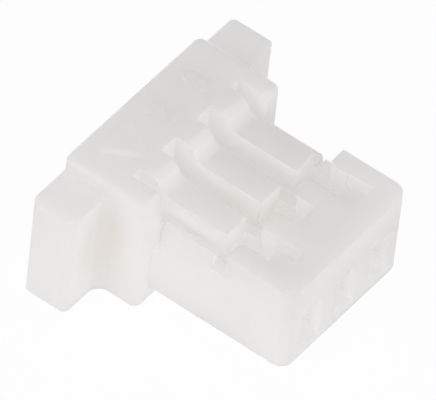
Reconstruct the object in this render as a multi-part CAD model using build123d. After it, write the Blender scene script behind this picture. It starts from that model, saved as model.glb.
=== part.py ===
from build123d import *
import os

# Wire to board connector housing, three ways, moulded in one piece.
# X runs across the ways with way 1 at -X, -Y is the mating end, +Y the wire end, and Z is up.
# The origin is under the middle of the housing, on the surface it rests on.
# Sizes ending in front, tip or end are counted back from the mating face.

# Ways
pitch = 1.0
ways = 3

# Overall length from the mating face to the wire face
length = 4.86

# Nose, the slim end that enters the header
nose_margin = 0.69
nose_bottom = 0.41
nose_top = 2.34
nose_corner = 0.26
nose_edge = 0.03

# Block, the thick end that takes the wires
block_margin = 0.95
block_height = 2.65
block_length = 1.84
block_corner = 0.15
block_edge = 0.12

# Wings, one each side of the block, to push and pull it by
wing_reach = 0.99
wing_length = 0.93
wing_inset = 0.06
wing_bottom = 0.04
wing_top = 2.34
wing_blend = 0.28
wing_step_blend = 0.12
wing_corner = 0.2
wing_back_corner = 0.2
wing_edge = 0.1

# Terminal cavities, their pin openings and their wire entries
cavity_width = 0.78
cavity_bottom = 0.64
cavity_top = 1.82
mating_wall = 0.2
pin_width = 0.52
pin_bottom = 0.64
pin_top = 1.5
pin_lead = 0.05
wire_width = 0.82
wire_bottom = 0.55
wire_top = 1.92
wire_depth = 0.7
wire_lead = 0.05

# Top plate of the nose, with a window over each way and a groove before the end ones
plate_end = 1.43
window_width = 0.52
window_front = 0.99
window_corner = 0.04
tongue_corner = 0.11
groove_width = 0.57
groove_front = 0.48
groove_depth = 0.3
groove_corner = 0.08

# Lances, the springs that hold the terminals
lance_width = 0.57
lance_tip = 1.74
lance_flat_end = 3.02
lance_rise_end = 3.47
lance_root_end = 3.66
lance_thickness = 0.4
lance_nib_depth = 0.15
lance_nib_length = 0.34
lance_edge = 0.03

# Bay in the block that the lances spring from, and the ribs beside the outer lances
cheek_margin = 0.53
rib_gap = 0.18
rib_top = 2.07
rib_crest_margin = 0.55
rib_slope_bottom = 1.42
rib_front = 1.77
rib_crest_edge = 0.025
rib_notch = 0.17

# Extra length of a cutter past the face that it leaves through
overrun = 0.5

# How near its place the middle of an edge is looked for
edge_reach = 0.03

front = -length / 2
back = length / 2
way_centres = [(way - (ways - 1) / 2) * pitch for way in range(ways)]
end_centre = way_centres[-1]
nose_half = end_centre + nose_margin
block_half = end_centre + block_margin
wing_half = block_half + wing_reach
bay_half = end_centre + cheek_margin
crest_half = end_centre + rib_crest_margin
rib_inner = end_centre + lance_width / 2 + rib_gap
block_front = back - block_length
wing_back = back - wing_inset
wing_front = wing_back - wing_length
plate_back = front + plate_end
window_start = front + window_front
bay_back = front + lance_root_end
rib_start = front + rib_front


def span_box(x_low, x_high, y_low, y_high, z_low, z_high):
    """Box between two opposite corners."""
    middle = ((x_low + x_high) / 2, (y_low + y_high) / 2, (z_low + z_high) / 2)
    return Pos(*middle) * Box(x_high - x_low, y_high - y_low, z_high - z_low)


def prism_along_y(outline, y_low, y_high):
    """Solid of an outline seen from the mating end, between two places along the housing."""
    return extrude(Plane.XZ.offset(-y_high) * outline, amount=y_high - y_low)


def edges_at(solid, direction, **places):
    """Straight edges along a direction whose middle lies at the places given for X, Y or Z."""
    found = []
    for edge in solid.edges().filter_by(direction):
        middle = edge.center()
        if all(abs(getattr(middle, name) - place) < edge_reach for name, place in places.items()):
            found.append(edge)
    return found


def flared_hole(centre_x, width, bottom, top, mouth, inner, lead):
    """Rectangular hole from a mouth face to an inner place, with a lead-in round the mouth."""
    inwards = 1 if inner > mouth else -1
    height = top - bottom
    centre_z = (bottom + top) / 2
    hole = span_box(centre_x - width / 2, centre_x + width / 2,
                    min(mouth, inner), max(mouth, inner), bottom, top)
    sections = []
    for depth, flare in ((-lead, 2 * lead), (lead, 0)):
        place = Plane.XZ.offset(-(mouth + inwards * depth))
        sections.append(place * Pos(centre_x, centre_z) * Rectangle(width + 2 * flare, height + 2 * flare))
    return hole + loft(sections)


def make_nose():
    """Nose with its top plate, solid inside: the plate's outline is a comb of tongues."""
    base = span_box(-nose_half, nose_half, front, block_front + block_corner, nose_bottom, cavity_top)
    base = fillet(edges_at(base, Axis.Z, Y=front), nose_corner)
    base = fillet(base.faces().sort_by(Axis.Z)[0].edges().filter_by(Plane.XY), nose_edge)
    comb = Pos(0, (front + plate_back) / 2) * Rectangle(2 * nose_half, plate_end)
    window_middle = (window_start + plate_back + overrun) / 2
    for centre in way_centres:
        comb -= Pos(centre, window_middle) * Rectangle(window_width, plate_back + overrun - window_start)
    tongue_ends = [v for v in comb.vertices()
                   if v.Y > window_start + window_corner and abs(v.X) < end_centre + window_width]
    comb = fillet(tongue_ends, tongue_corner)
    window_ends = [v for v in comb.vertices() if abs(v.Y - window_start) < window_corner]
    comb = fillet(window_ends, window_corner)
    comb = fillet([v for v in comb.vertices() if v.Y < front + window_corner], nose_corner)
    plate = extrude(Plane.XY.offset(cavity_top) * comb, amount=nose_top - cavity_top)
    rim = [e for e in plate.faces().sort_by(Axis.Z)[-1].edges()
           if e.center().Y < front + nose_corner or abs(e.center().X) > nose_half - nose_corner / 2]
    return base + fillet(rim, nose_edge)


def make_groove(centre):
    """Cutter of the shallow groove that runs forward from an end window."""
    start = front + groove_front
    end = window_start + window_corner
    cutter = span_box(centre - groove_width / 2, centre + groove_width / 2, start, end + groove_corner,
                      nose_top - groove_depth, nose_top + overrun)
    rounded = fillet(edges_at(cutter, Axis.Z, Y=start), groove_corner)
    floor = rounded.faces().sort_by(Axis.Z)[0]
    rounded = fillet([e for e in floor.edges() if e.center().Y < end], groove_corner)
    return rounded & span_box(-nose_half, nose_half, front, end, cavity_top, nose_top + overrun)


def make_rib(side):
    """Rib that guards an outer lance: upright inside, leaning back outside up to a narrow crest."""
    outline = make_face(Polyline(
        (side * rib_inner, rib_slope_bottom),
        (side * rib_inner, rib_top),
        (side * crest_half, rib_top),
        (side * nose_half, rib_slope_bottom),
        close=True))
    crest = outline.vertices().group_by(Axis.Y)[-1]
    return prism_along_y(fillet(crest, rib_crest_edge), rib_start, block_front + block_corner)


def make_side_slope(side):
    """Cutter that leans the nose's side wall back below the rib."""
    outline = make_face(Polyline(
        (side * nose_half, rib_slope_bottom),
        (side * crest_half, rib_top),
        (side * (nose_half + overrun), rib_top),
        (side * (nose_half + overrun), rib_slope_bottom),
        close=True))
    return prism_along_y(outline, rib_start, block_front)


def make_block():
    """Wire end block with rounded upright corners and softened edges."""
    block = span_box(-block_half, block_half, block_front, back, 0, block_height)
    block = fillet(block.edges().filter_by(Axis.Z), block_corner)
    block = fillet(block.faces().sort_by(Axis.Z)[-1].edges(), block_edge)
    return fillet(block.faces().sort_by(Axis.Z)[0].edges(), nose_edge)


def make_wings():
    """Both wings: one outline from above crossed with one from the mating end."""
    plan = Pos(0, (wing_front + wing_back) / 2) * Rectangle(2 * wing_half, wing_length)
    plan = fillet(plan.vertices().group_by(Axis.Y)[0], wing_corner)
    plan = fillet(plan.vertices().group_by(Axis.Y)[-1], wing_back_corner)
    profile = Pos(0, (wing_bottom + wing_top) / 2) * Rectangle(2 * wing_half, wing_top - wing_bottom)
    profile = fillet(profile.vertices(), wing_edge)
    steps = []
    for side in (-1, 1):
        web = Rectangle(wing_blend, wing_blend)
        web = Pos(side * (block_half + wing_blend / 2), wing_front - wing_blend / 2) * web
        plan += web - Pos(side * (block_half + wing_blend), wing_front - wing_blend) * Circle(wing_blend)
        step = Rectangle(wing_step_blend, wing_step_blend)
        step = Pos(side * (block_half + wing_step_blend / 2), wing_top + wing_step_blend / 2) * step
        step_centre = Pos(side * (block_half + wing_step_blend), wing_top + wing_step_blend)
        steps.append(step - step_centre * Circle(wing_step_blend))
    upright = extrude(plan, amount=block_height)
    wings = upright & prism_along_y(profile, wing_front - wing_blend, back)
    for step in steps:
        wings += upright & prism_along_y(step, wing_front - wing_blend, back - block_corner)
    return wings


def make_lance(centre):
    """Lance: flat at the nose's height, then an S-bend up to the top of the block."""
    tip = front + lance_tip
    flat_end = front + lance_flat_end
    rise_end = front + lance_rise_end
    nib_end = tip + lance_nib_length
    under = nose_top - lance_thickness
    root = bay_back + block_edge
    bend_middle = ((flat_end + rise_end) / 2, (nose_top + block_height) / 2)
    lower_bend = TangentArc((flat_end, nose_top), bend_middle, tangent=(1, 0))
    upper_bend = TangentArc((rise_end, block_height), bend_middle, tangent=(-1, 0))
    outline = lower_bend + upper_bend + Polyline(
        (rise_end, block_height),
        (root, block_height),
        (root, under),
        (nib_end + lance_nib_depth, under),
        (nib_end, under - lance_nib_depth),
        (tip + lance_edge, under - lance_nib_depth),
        (tip, nose_top),
        (flat_end, nose_top))
    lance = extrude(Plane.YZ.offset(centre - lance_width / 2) * make_face(outline), amount=lance_width)
    tip_edges = [e for e in lance.edges() if e.center().Y < tip + lance_edge / 2]
    return fillet(tip_edges, lance_edge)


housing = make_nose() + make_block() + make_wings()
for side in (-1, 1):
    housing -= make_side_slope(side)
housing -= span_box(-bay_half, bay_half, block_front - overrun, bay_back, cavity_top, block_height + overrun)
for side in (-1, 1):
    housing += make_rib(side)
for side in (-1, 1):
    notch_middle = side * (rib_inner + nose_half) / 2
    notch_half = (nose_half - rib_inner) / 2 + nose_edge
    housing -= span_box(notch_middle - notch_half, notch_middle + notch_half,
                        block_front - rib_notch, block_front, rib_slope_bottom, rib_top + overrun)
for centre in way_centres:
    housing -= span_box(centre - cavity_width / 2, centre + cavity_width / 2,
                        front + mating_wall, back, cavity_bottom, cavity_top)
    housing -= flared_hole(centre, pin_width, pin_bottom, pin_top, front, front + mating_wall, pin_lead)
    housing -= flared_hole(centre, wire_width, wire_bottom, wire_top, back, back - wire_depth, wire_lead)
    housing += make_lance(centre)
for centre in (way_centres[0], way_centres[-1]):
    housing -= make_groove(centre)

os.makedirs("parts", exist_ok=True)
export_step(housing, "parts/housing.step")
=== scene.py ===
import math

import bmesh
import bpy
from mathutils import Matrix, Vector


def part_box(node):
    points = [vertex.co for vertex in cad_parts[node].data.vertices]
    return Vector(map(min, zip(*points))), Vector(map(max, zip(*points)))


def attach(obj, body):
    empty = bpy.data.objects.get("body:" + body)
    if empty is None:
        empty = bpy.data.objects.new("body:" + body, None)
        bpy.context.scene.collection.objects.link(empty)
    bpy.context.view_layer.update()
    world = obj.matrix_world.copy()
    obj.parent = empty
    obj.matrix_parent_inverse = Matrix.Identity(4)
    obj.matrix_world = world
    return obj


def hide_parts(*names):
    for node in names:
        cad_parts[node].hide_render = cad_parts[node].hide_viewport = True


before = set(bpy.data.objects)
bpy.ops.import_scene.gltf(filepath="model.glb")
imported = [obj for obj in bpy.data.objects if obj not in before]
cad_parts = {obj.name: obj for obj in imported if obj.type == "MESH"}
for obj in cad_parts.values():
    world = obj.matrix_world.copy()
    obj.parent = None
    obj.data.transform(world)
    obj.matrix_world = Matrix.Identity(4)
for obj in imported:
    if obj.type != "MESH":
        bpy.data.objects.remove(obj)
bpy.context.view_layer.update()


# Skin of the moulding: every face is a print of the steel mould, which is spark eroded to a fine
# even grain. The nylon flowed in unevenly, so its tone and gloss drift a little. Its colour also
# holds painted light: a browner painted shade round the webs beside the block and the nose, a
# lighter painted glow on the upright walls of the bay, and a greyer painted shade on every top.

# Sizes are in millimetres, and MM turns them into metres.
MM = 0.001
natural_skin = {
    "Plastic": (0.97, 0.957, 0.96, 1.0),
    "Cloud Plastic": (0.965, 0.948, 0.948, 1.0),
    # The last three colours are painted light: shade by the webs, glow in the bay, shade on tops.
    "Painted Web Shade": (0.9, 0.875, 0.85, 1.0),
    "Painted Bay Glow": (1.0, 0.991, 0.976, 1.0),
    "Painted Top Shade": (0.94, 0.94, 0.94, 1.0),
    "Cloud Size": 1.6,
    "Grain Size": 0.035,
    "Low Roughness": 0.3,
    "High Roughness": 0.4,
}
cloud_detail = 2.0
grain_detail = 3.0
grain_depth = 0.004
grain_strength = 0.25

# What light does in the nylon: how far it spreads under the skin, in red, green and blue, and the
# share of it that goes on through.
refraction = 1.53
glow_depth = 0.6
glow_reach = (1.0, 0.97, 0.94)
see_through = 0.55
inside_tint = (0.995, 0.99, 0.98, 1.0)

# Where the painted shade and the painted glow lie: an oval round each place, repeated by mirroring
# in X and in Y, and the shares of its reach at which the tone is full and has faded out.
web_shade_middle = (2.17, 1.36, 1.3)
web_shade_reach = (0.85, 0.8, 1.75)
bay_glow_middle = (0.0, 0.0, 1.7)
bay_glow_reach = (2.0, 2.6, 2.0)
oval_full, oval_end = 0.1, 1.0

# The normal's Z from which a face counts as upright, for the painted glow, or as facing up, for the
# painted top shade, and where it does so fully.
upright_from, upright_full = 0.8, 0.3
upward_from, upward_full = 0.1, 0.7

# The values between which the noise varies.
noise_low, noise_high = 0.3, 0.7


def moulded_skin_group():
    """Node group of the moulded skin, which gives its colour with its painted shade and glow, its
    roughness and height.
    """
    group = bpy.data.node_groups.new("moulded_skin", "ShaderNodeTree")
    for name in ("Plastic", "Cloud Plastic", "Painted Web Shade", "Painted Bay Glow", "Painted Top Shade"):
        group.interface.new_socket(name, in_out="INPUT", socket_type="NodeSocketColor")
    for name in ("Cloud Size", "Grain Size", "Low Roughness", "High Roughness"):
        group.interface.new_socket(name, in_out="INPUT", socket_type="NodeSocketFloat")
    group.interface.new_socket("Colour", in_out="OUTPUT", socket_type="NodeSocketColor")
    for name in ("Roughness", "Height"):
        group.interface.new_socket(name, in_out="OUTPUT", socket_type="NodeSocketFloat")
    nodes, links = group.nodes, group.links
    given = nodes.new("NodeGroupInput")
    result = nodes.new("NodeGroupOutput")
    place = nodes.new("ShaderNodeTexCoord")
    mirrored = nodes.new("ShaderNodeVectorMath")
    mirrored.operation = "ABSOLUTE"
    links.new(place.outputs["Object"], mirrored.inputs[0])

    def noise(size_name, detail):
        """Noise with features as large as the named input says."""
        scale = nodes.new("ShaderNodeMath")
        scale.operation = "DIVIDE"
        scale.inputs[0].default_value = 1 / MM
        links.new(given.outputs[size_name], scale.inputs[1])
        texture = nodes.new("ShaderNodeTexNoise")
        texture.inputs["Detail"].default_value = detail
        links.new(place.outputs["Object"], texture.inputs["Vector"])
        links.new(scale.outputs[0], texture.inputs["Scale"])
        return texture.outputs["Fac"]

    def spread(value, low, high):
        """Value spread from 0 at low to 1 at high."""
        remap = nodes.new("ShaderNodeMapRange")
        remap.inputs["From Min"].default_value = low
        remap.inputs["From Max"].default_value = high
        links.new(value, remap.inputs["Value"])
        return remap

    def inside(middle, reach):
        """Mask that is 1 round a place and its mirror images, and fades to 0 within a reach."""
        vector = mirrored.outputs["Vector"]
        for operation, sizes in (("SUBTRACT", middle), ("DIVIDE", reach)):
            step = nodes.new("ShaderNodeVectorMath")
            step.operation = operation
            step.inputs[1].default_value = Vector(sizes) * MM
            links.new(vector, step.inputs[0])
            vector = step.outputs["Vector"]
        away = nodes.new("ShaderNodeVectorMath")
        away.operation = "LENGTH"
        links.new(vector, away.inputs[0])
        mask = spread(away.outputs["Value"], oval_end, oval_full)
        mask.interpolation_type = "SMOOTHERSTEP"
        return mask.outputs["Result"]

    def laid_over(colour, name, mask, blend_type="MIX"):
        """Colour with the named input laid over it where the mask is 1."""
        over = nodes.new("ShaderNodeMix")
        over.data_type = "RGBA"
        over.blend_type = blend_type
        links.new(mask, over.inputs["Factor"])
        links.new(colour, over.inputs["A"])
        links.new(given.outputs[name], over.inputs["B"])
        return over.outputs["Result"]

    facing = nodes.new("ShaderNodeNewGeometry")
    normal = nodes.new("ShaderNodeSeparateXYZ")
    links.new(facing.outputs["Normal"], normal.inputs["Vector"])
    upright = spread(normal.outputs["Z"], upright_from, upright_full)
    upward = spread(normal.outputs["Z"], upward_from, upward_full)
    # Mask of the painted glow: the upright faces in the bay.
    bay_glow_mask = nodes.new("ShaderNodeMath")
    bay_glow_mask.operation = "MULTIPLY"
    links.new(upright.outputs["Result"], bay_glow_mask.inputs[0])
    links.new(inside(bay_glow_middle, bay_glow_reach), bay_glow_mask.inputs[1])

    cloud = spread(noise("Cloud Size", cloud_detail), noise_low, noise_high)
    colour = laid_over(given.outputs["Plastic"], "Cloud Plastic", cloud.outputs["Result"])
    # A lighter painted glow on the bay's upright walls, as if light shone through them.
    colour = laid_over(colour, "Painted Bay Glow", bay_glow_mask.outputs[0])
    # A browner painted shade round the webs beside the block and the nose.
    colour = laid_over(colour, "Painted Web Shade", inside(web_shade_middle, web_shade_reach))
    # Faces that look up are multiplied 6% greyer: a painted shade on the tops.
    colour = laid_over(colour, "Painted Top Shade", upward.outputs["Result"], "MULTIPLY")
    links.new(colour, result.inputs["Colour"])

    grain = noise("Grain Size", grain_detail)
    gloss = spread(grain, noise_low, noise_high)
    links.new(given.outputs["Low Roughness"], gloss.inputs["To Min"])
    links.new(given.outputs["High Roughness"], gloss.inputs["To Max"])
    links.new(gloss.outputs["Result"], result.inputs["Roughness"])
    links.new(grain, result.inputs["Height"])
    return group


def nylon(name, skin_values):
    """Nylon that scatters light under its skin and passes a share of it through its slender walls."""
    material = bpy.data.materials.new(name)
    material.use_nodes = True
    nodes, links = material.node_tree.nodes, material.node_tree.links
    skin = nodes.new("ShaderNodeGroup")
    skin.node_tree = moulded_skin
    for input_name, value in skin_values.items():
        skin.inputs[input_name].default_value = value
    bump = nodes.new("ShaderNodeBump")
    bump.inputs["Strength"].default_value = grain_strength
    bump.inputs["Distance"].default_value = grain_depth * MM
    links.new(skin.outputs["Height"], bump.inputs["Height"])

    shader = nodes["Principled BSDF"]
    links.new(skin.outputs["Colour"], shader.inputs["Base Color"])
    links.new(skin.outputs["Roughness"], shader.inputs["Roughness"])
    links.new(bump.outputs["Normal"], shader.inputs["Normal"])
    shader.inputs["IOR"].default_value = refraction
    shader.inputs["Subsurface Weight"].default_value = 1.0
    shader.inputs["Subsurface Radius"].default_value = glow_reach
    shader.inputs["Subsurface Scale"].default_value = glow_depth * MM
    through = nodes.new("ShaderNodeBsdfTranslucent")
    links.new(skin.outputs["Colour"], through.inputs["Color"])
    links.new(bump.outputs["Normal"], through.inputs["Normal"])
    outside = nodes.new("ShaderNodeMixShader")
    outside.inputs["Fac"].default_value = see_through
    links.new(shader.outputs["BSDF"], outside.inputs[1])
    links.new(through.outputs["BSDF"], outside.inputs[2])

    # From inside, a wall is clear but for a faint tint, so light that has come in can leave again.
    clear = nodes.new("ShaderNodeBsdfTransparent")
    clear.inputs["Color"].default_value = inside_tint
    side = nodes.new("ShaderNodeNewGeometry")
    wall = nodes.new("ShaderNodeMixShader")
    links.new(side.outputs["Backfacing"], wall.inputs["Fac"])
    links.new(outside.outputs["Shader"], wall.inputs[1])
    links.new(clear.outputs["BSDF"], wall.inputs[2])
    links.new(wall.outputs["Shader"], nodes["Material Output"].inputs["Surface"])
    return material


moulded_skin = moulded_skin_group()
natural_nylon = nylon("natural_nylon", natural_skin)


# Housing: one moulding in natural nylon, with its nose, lances, wire end block and wings. A mould
# leaves no knife edges, so every edge that has no radius of its own is broken by a hair's breadth.
edge_break = 0.013
break_segments = 2
round_profile = 0.5
shortest_edge = 0.002
flat_degrees = 0.4
sharp_degrees = 40.0

moulding = bmesh.new()
moulding.from_mesh(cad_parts["housing"].data)
bmesh.ops.remove_doubles(moulding, verts=moulding.verts, dist=shortest_edge * MM)
bmesh.ops.dissolve_limit(
    moulding, angle_limit=math.radians(flat_degrees), use_dissolve_boundaries=False,
    verts=moulding.verts, edges=moulding.edges)
sharp_edges = [e for e in moulding.edges if e.calc_face_angle(0.0) > math.radians(sharp_degrees)]
bmesh.ops.bevel(
    moulding, geom=sharp_edges, offset=edge_break * MM, offset_type="OFFSET",
    segments=break_segments, profile=round_profile, affect="EDGES",
    clamp_overlap=True, loop_slide=True, material=-1)
moulding_mesh = bpy.data.meshes.new("housing_moulding")
moulding.to_mesh(moulding_mesh)
moulding.free()

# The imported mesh's own corner normals no longer fit the joined faces.
if "custom_normal" in moulding_mesh.attributes:
    moulding_mesh.attributes.remove(moulding_mesh.attributes["custom_normal"])
moulding_mesh.materials.append(natural_nylon)
housing_moulding = bpy.data.objects.new("housing_moulding", moulding_mesh)
bpy.context.scene.collection.objects.link(housing_moulding)


# Way marks: a raised triangle that points at way 1, and the raised figures of ways 2 and 3. They
# are cut into the mould, so they are one with the block and stand out of its top with soft sides.
# The moulding is finished with them, and only then takes the place of the plain solid.
pitch = 1.0
block_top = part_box("housing")[1].z / MM

# The marks reach a little way down into the block, so that the two solids overlap where they join.
mark_height = 0.03
mark_sink = 0.008
merge_within = 0.00002

# Figures, with strokes whose height is height_per_round times the radius of their edges.
figure_middle = 1.757
figure_width = 0.34
figure_height = 0.54
stroke_foot = 0.16
stroke_crest = 0.03
height_per_round = 4.0
round_steps = 3
two_bow_start, two_bow_end = 165, -25
three_open_turn, three_waist_turn = 150, 105
three_upper_share = 0.88
bow_steps, large_bow_steps = 14, 16

# Triangle, from its apex to its base along the housing, and half its width at the base.
triangle_apex = 1.19
triangle_base = 2.22
triangle_half = 0.61
triangle_slope = 0.16
triangle_corner = 0.17
slope_steps = 6
corner_steps = 6

# Edges that stay creases: those steeper than this, and the marks' feet on the block's level top.
crease_degrees = 50.0
level_from = 0.99


def arc(centre, radii, start, end, steps):
    """Points along an arc or an oval's part, between two turns in degrees."""
    turns = [math.radians(start + (end - start) * step / steps) for step in range(steps + 1)]
    return [(centre[0] + radii[0] * math.cos(turn), centre[1] + radii[1] * math.sin(turn))
            for turn in turns]


def raised_stroke_tree():
    """Geometry nodes that sweep a rounded trapezoid along the stroke's path."""
    tree = bpy.data.node_groups.new("raised_stroke", "GeometryNodeTree")
    tree.interface.new_socket("Path", in_out="INPUT", socket_type="NodeSocketGeometry")
    for name in ("Foot Width", "Crest Width", "Height"):
        tree.interface.new_socket(name, in_out="INPUT", socket_type="NodeSocketFloat")
    tree.interface.new_socket("Finish", in_out="INPUT", socket_type="NodeSocketMaterial")
    tree.interface.new_socket("Stroke", in_out="OUTPUT", socket_type="NodeSocketGeometry")
    nodes, links = tree.nodes, tree.links
    given = nodes.new("NodeGroupInput")
    result = nodes.new("NodeGroupOutput")
    profile = nodes.new("GeometryNodeCurvePrimitiveQuadrilateral")
    profile.mode = "TRAPEZOID"
    profile.inputs["Offset"].default_value = 0.0
    links.new(given.outputs["Foot Width"], profile.inputs["Bottom Width"])
    links.new(given.outputs["Crest Width"], profile.inputs["Top Width"])
    links.new(given.outputs["Height"], profile.inputs["Height"])
    corner = nodes.new("ShaderNodeMath")
    corner.operation = "DIVIDE"
    corner.inputs[1].default_value = height_per_round
    links.new(given.outputs["Height"], corner.inputs[0])
    soften = nodes.new("GeometryNodeFilletCurve")
    soften.mode = "POLY"
    soften.inputs["Count"].default_value = round_steps
    links.new(profile.outputs["Curve"], soften.inputs["Curve"])
    links.new(corner.outputs[0], soften.inputs["Radius"])
    sweep = nodes.new("GeometryNodeCurveToMesh")
    sweep.inputs["Fill Caps"].default_value = True
    links.new(given.outputs["Path"], sweep.inputs["Curve"])
    links.new(soften.outputs["Curve"], sweep.inputs["Profile Curve"])
    realise = nodes.new("GeometryNodeRealizeInstances")
    finish = nodes.new("GeometryNodeSetMaterial")
    links.new(sweep.outputs["Mesh"], realise.inputs["Geometry"])
    links.new(realise.outputs["Geometry"], finish.inputs["Geometry"])
    links.new(given.outputs["Finish"], finish.inputs["Material"])
    links.new(finish.outputs["Geometry"], result.inputs["Stroke"])
    return tree


def plain_mesh(obj, name):
    """Mesh of an object as its modifiers leave it."""
    evaluated = obj.evaluated_get(bpy.context.evaluated_depsgraph_get())
    mesh = bpy.data.meshes.new_from_object(evaluated)
    mesh.name = name
    return mesh


def close_mark(mesh):
    """Merges a mark's doubled points and turns its faces outwards."""
    work = bmesh.new()
    work.from_mesh(mesh)
    bmesh.ops.remove_doubles(work, verts=work.verts, dist=merge_within * MM)
    bmesh.ops.recalc_face_normals(work, faces=work.faces)
    work.to_mesh(mesh)
    work.free()


def figure_stroke(name, points, centre_x):
    """One stroke of a figure, along points counted from the middle of the figure."""
    curve = bpy.data.curves.new(name, "CURVE")
    curve.dimensions = "3D"
    curve.twist_mode = "Z_UP"
    spline = curve.splines.new("POLY")
    spline.points.add(len(points) - 1)
    middle_z = block_top + (mark_height - mark_sink) / 2
    for point, (x, y) in zip(spline.points, points):
        point.co = ((centre_x + x) * MM, (figure_middle + y) * MM, middle_z * MM, 1.0)
    figure = bpy.data.objects.new(name, curve)
    bpy.context.scene.collection.objects.link(figure)
    sweep = figure.modifiers.new("stroke", "NODES")
    sweep.node_group = raised_stroke
    given = {
        "Foot Width": stroke_foot * MM,
        "Crest Width": stroke_crest * MM,
        "Height": (mark_height + mark_sink) * MM,
        "Finish": natural_nylon,
    }
    for socket in raised_stroke.interface.items_tree:
        if socket.name in given:
            sweep[socket.identifier] = given[socket.name]
    mesh = plain_mesh(figure, name)
    bpy.data.objects.remove(figure)
    close_mark(mesh)
    return mesh


def triangle_mesh():
    """Triangle with round corners, its sides rising in a soft S from the foot to the crest."""
    lean = math.degrees(math.atan2(triangle_half, triangle_base - triangle_apex))
    foot_share = 1 / math.tan(math.radians(90 - lean) / 2)
    foot_x = triangle_half - triangle_corner * foot_share
    foot_y = triangle_base - triangle_corner
    apex_y = triangle_apex + triangle_corner / math.sin(math.radians(lean))
    corners = (
        ((-pitch + foot_x, foot_y), -lean, 90),
        ((-pitch - foot_x, foot_y), 90, 180 + lean),
        ((-pitch, apex_y), 180 + lean, 360 - lean),
    )
    levels = [(-triangle_slope / slope_steps, -mark_sink)]
    for step in range(1, slope_steps + 1):
        share = step / slope_steps
        levels.append((triangle_slope * share, mark_height * share ** 2 * (3 - 2 * share)))
    work = bmesh.new()
    rings = []
    for inset, rise in levels:
        radii = (triangle_corner - inset, triangle_corner - inset)
        outline = []
        for centre, start, end in corners:
            outline += arc(centre, radii, start, end, corner_steps)
        rings.append([work.verts.new(Vector((x, y, block_top + rise)) * MM) for x, y in outline])
    for low, high in zip(rings, rings[1:]):
        for here in range(len(low)):
            after = (here + 1) % len(low)
            work.faces.new((low[here], low[after], high[after], high[here]))
    work.faces.new(rings[-1])
    work.faces.new(reversed(rings[0]))
    mesh = bpy.data.meshes.new("way_triangle_1")
    work.to_mesh(mesh)
    work.free()
    mesh.materials.append(natural_nylon)
    close_mark(mesh)
    return mesh


def shade_by_area(mesh):
    """Shades each point by the faces round it, up to the sharp edges, each counted by its area.

    The flat faces then stay flat beside the narrow faces of the broken edges.
    """
    work = bmesh.new()
    work.from_mesh(mesh)
    areas = {face: face.calc_area() for face in work.faces}
    normals = {}
    for vert in work.verts:
        left = list(vert.link_loops)
        while left:
            fan = [left.pop(0)]
            for corner in fan:
                for edge in (corner.edge, corner.link_loop_prev.edge):
                    for across in edge.link_loops if edge.smooth else ():
                        other = across if across.vert == vert else across.link_loop_next
                        if other in left:
                            left.remove(other)
                            fan.append(other)
            total = Vector()
            for corner in fan:
                total += corner.face.normal * (areas[corner.face] / MM ** 2)
            for corner in fan:
                normals[corner] = total.normalized()
    corners = [corner for face in work.faces for corner in face.loops]
    mesh.normals_split_custom_set([normals[corner] for corner in corners])
    work.free()


raised_stroke = raised_stroke_tree()
half_width = (figure_width - stroke_foot / 2) / 2
half_height = (figure_height - stroke_foot / 2) / 2
two_bow_middle = (0, half_height - half_width)
two_bow = arc(two_bow_middle, (half_width, half_width), two_bow_start, two_bow_end, bow_steps)
two_foot = [(-half_width, -half_height), (half_width, -half_height)]
bow = half_height / 2
upper_radii = (half_width * three_upper_share, bow)
three_upper = arc((0, bow), upper_radii, three_open_turn, -three_waist_turn, bow_steps)
three_lower = arc((0, -bow), (half_width, bow), three_waist_turn, -three_open_turn, large_bow_steps)
marks = [
    triangle_mesh(),
    figure_stroke("way_figure_2", two_bow + two_foot[:1], 0.0),
    figure_stroke("way_figure_2_foot", two_foot, 0.0),
    figure_stroke("way_figure_3_top", three_upper, pitch),
    figure_stroke("way_figure_3_foot", three_lower, pitch),
]
for mark in marks:
    raised = bpy.data.objects.new(mark.name, mark)
    bpy.context.scene.collection.objects.link(raised)
    join = housing_moulding.modifiers.new(mark.name, "BOOLEAN")
    join.operation = "UNION"
    join.solver = "EXACT"
    join.object = raised
    joined = plain_mesh(housing_moulding, "housing_moulding")
    housing_moulding.modifiers.remove(join)
    housing_moulding.data = joined
    bpy.data.objects.remove(raised)

finished = bmesh.new()
finished.from_mesh(housing_moulding.data)
bmesh.ops.remove_doubles(finished, verts=finished.verts, dist=merge_within * MM)
bmesh.ops.triangulate(finished, faces=[f for f in finished.faces if len(f.verts) > 4])
for face in finished.faces:
    face.smooth = True
for edge in finished.edges:
    on_top = all(abs(vert.co.z - block_top * MM) < merge_within * MM for vert in edge.verts)
    at_foot = on_top and min(face.normal.z for face in edge.link_faces) < level_from
    if at_foot or edge.calc_face_angle(0.0) > math.radians(crease_degrees):
        edge.smooth = False
finished.to_mesh(housing_moulding.data)
finished.free()
shade_by_area(housing_moulding.data)
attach(housing_moulding, "root")
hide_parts("housing")


# Floor: a wide sheet of plain white board, laid flat, with the housing standing loose on it.
# Camera, glossy and transmission rays see it nearly white, and it keeps the housing's faint shadow.
floor_half = 2000.0
board_colour = (0.95, 0.95, 0.95, 1.0)
white_share = 0.95

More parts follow.
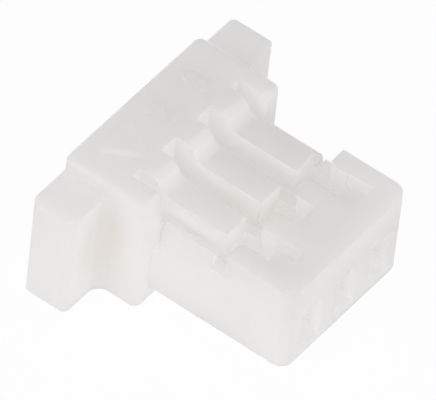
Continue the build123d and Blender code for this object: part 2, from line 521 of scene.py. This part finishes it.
signs = ((-1, -1), (1, -1), (1, 1), (-1, 1))
floor_corners = [(x * floor_half * MM, y * floor_half * MM, 0) for x, y in signs]
floor_mesh = bpy.data.meshes.new("floor")
floor_mesh.from_pydata(floor_corners, [], [(0, 1, 2, 3)])
floor = bpy.data.objects.new("floor", floor_mesh)
bpy.context.scene.collection.objects.link(floor)
white_board = bpy.data.materials.new("white_board")
white_board.use_nodes = True
nodes, links = white_board.node_tree.nodes, white_board.node_tree.links
nodes.remove(nodes["Principled BSDF"])
seen = nodes.new("ShaderNodeLightPath")
seen_white = seen.outputs["Is Camera Ray"]
for ray in ("Is Glossy Ray", "Is Transmission Ray"):
    either = nodes.new("ShaderNodeMath")
    either.operation = "MAXIMUM"
    links.new(seen_white, either.inputs[0])
    links.new(seen.outputs[ray], either.inputs[1])
    seen_white = either.outputs[0]
share = nodes.new("ShaderNodeMath")
share.operation = "MULTIPLY"
share.inputs[1].default_value = white_share
links.new(seen_white, share.inputs[0])
board = nodes.new("ShaderNodeBsdfDiffuse")
board.inputs["Color"].default_value = board_colour
glow = nodes.new("ShaderNodeEmission")
glow.inputs["Strength"].default_value = 1.0
mix = nodes.new("ShaderNodeMixShader")
links.new(share.outputs[0], mix.inputs["Fac"])
links.new(board.outputs["BSDF"], mix.inputs[1])
links.new(glow.outputs["Emission"], mix.inputs[2])
links.new(mix.outputs["Shader"], nodes["Material Output"].inputs["Surface"])
floor_mesh.materials.append(white_board)


# Light: a white tent round the housing, bright at its foot, dark at its top, and brighter towards
# way 1 and the mating end, with four small soft boxes in it. The camera sees a plain pale backdrop
# where the tent is.
tent_at_foot = 1.57
tent_at_top = 0.0
tent_lean = (-0.58, -0.3, 0.0)
backdrop_colour = (0.8, 0.8, 0.8, 1.0)
box_distance = 120.0

tent = bpy.data.worlds.new("tent")
bpy.context.scene.world = tent
tent.use_nodes = True
nodes, links = tent.node_tree.nodes, tent.node_tree.links
direction = nodes.new("ShaderNodeTexCoord")
axes = nodes.new("ShaderNodeSeparateXYZ")
links.new(direction.outputs["Generated"], axes.inputs["Vector"])
fade = nodes.new("ShaderNodeMapRange")
fade.inputs["To Min"].default_value = tent_at_foot
fade.inputs["To Max"].default_value = tent_at_top
links.new(axes.outputs["Z"], fade.inputs["Value"])
sideways = nodes.new("ShaderNodeVectorMath")
sideways.operation = "DOT_PRODUCT"
sideways.inputs[1].default_value = tent_lean
links.new(direction.outputs["Generated"], sideways.inputs[0])
lifted = nodes.new("ShaderNodeMath")
lifted.operation = "ADD"
lifted.inputs[1].default_value = 1.0
links.new(sideways.outputs["Value"], lifted.inputs[0])
graded = nodes.new("ShaderNodeMath")
graded.operation = "MULTIPLY"
links.new(fade.outputs["Result"], graded.inputs[0])
links.new(lifted.outputs[0], graded.inputs[1])
lit = nodes["Background"]
lit.inputs["Color"].default_value = (1.0, 1.0, 1.0, 1.0)
links.new(graded.outputs[0], lit.inputs["Strength"])
backdrop = nodes.new("ShaderNodeBackground")
backdrop.inputs["Color"].default_value = backdrop_colour
seen = nodes.new("ShaderNodeLightPath")
mix = nodes.new("ShaderNodeMixShader")
links.new(seen.outputs["Is Camera Ray"], mix.inputs["Fac"])
links.new(lit.outputs["Background"], mix.inputs[1])
links.new(backdrop.outputs["Background"], mix.inputs[2])
links.new(mix.outputs["Shader"], nodes["World Output"].inputs["Surface"])


def outwards(azimuth, elevation):
    """Direction out from the housing, by its turn from the mating end and its rise, in degrees."""
    turn, rise = math.radians(azimuth), math.radians(elevation)
    return Vector((math.sin(turn) * math.cos(rise), -math.cos(turn) * math.cos(rise), math.sin(rise)))


def soft_box(name, azimuth, elevation, width, power):
    """Round lamp of a width in millimetres and a power in watts that faces the housing."""
    lamp = bpy.data.lights.new(name, "AREA")
    lamp.shape = "DISK"
    lamp.size = width * MM
    lamp.energy = power
    box = bpy.data.objects.new(name, lamp)
    bpy.context.scene.collection.objects.link(box)
    out = outwards(azimuth, elevation)
    box.location = out * (box_distance * MM)
    box.rotation_euler = out.to_track_quat("Z", "Y").to_euler()
    box.visible_camera = False


soft_box("left_box", azimuth=-114, elevation=36, width=30.0, power=0.0105)
soft_box("front_box", azimuth=-45, elevation=20, width=80.0, power=0.006)
soft_box("right_box", azimuth=70, elevation=50, width=50.0, power=0.008)
soft_box("top_box", azimuth=122, elevation=80, width=30.0, power=0.018)


# Camera: a long lens high over the mating end's left corner, where the photograph was taken from.
# Its place, its roll and the photograph's scale were fitted to the housing's own corners.
azimuth, elevation, roll = -57.713, 47.697, 6.878
camera_distance = 204.499
looks_at = Vector((0.0, 0.018, 1.224))
photo_width = 436
pixels_per_mm = 57.092
pixels_right, pixels_down = 16.37, 16.72
sensor_width = 36.0
clip_near, clip_far = 1.0, 10000.0

turn, lean = math.radians(azimuth), math.radians(roll)
back = outwards(azimuth, elevation)
level = Vector((math.cos(turn), math.sin(turn), 0.0))
plumb = back.cross(level)
right = level * math.cos(lean) + plumb * math.sin(lean)
up = plumb * math.cos(lean) - level * math.sin(lean)
place = looks_at + back * camera_distance
place += up * (pixels_down / pixels_per_mm) - right * (pixels_right / pixels_per_mm)
pose = Matrix((right, up, back)).transposed().to_4x4()
pose.translation = place * MM
lens = bpy.data.cameras.new("camera")
lens.sensor_width = sensor_width
lens.lens = sensor_width * pixels_per_mm * camera_distance / photo_width
lens.clip_start, lens.clip_end = clip_near * MM, clip_far * MM
camera = bpy.data.objects.new("camera", lens)
bpy.context.scene.collection.objects.link(camera)
camera.matrix_world = pose
bpy.context.scene.camera = camera
bpy.context.scene.view_settings.view_transform = "Standard"
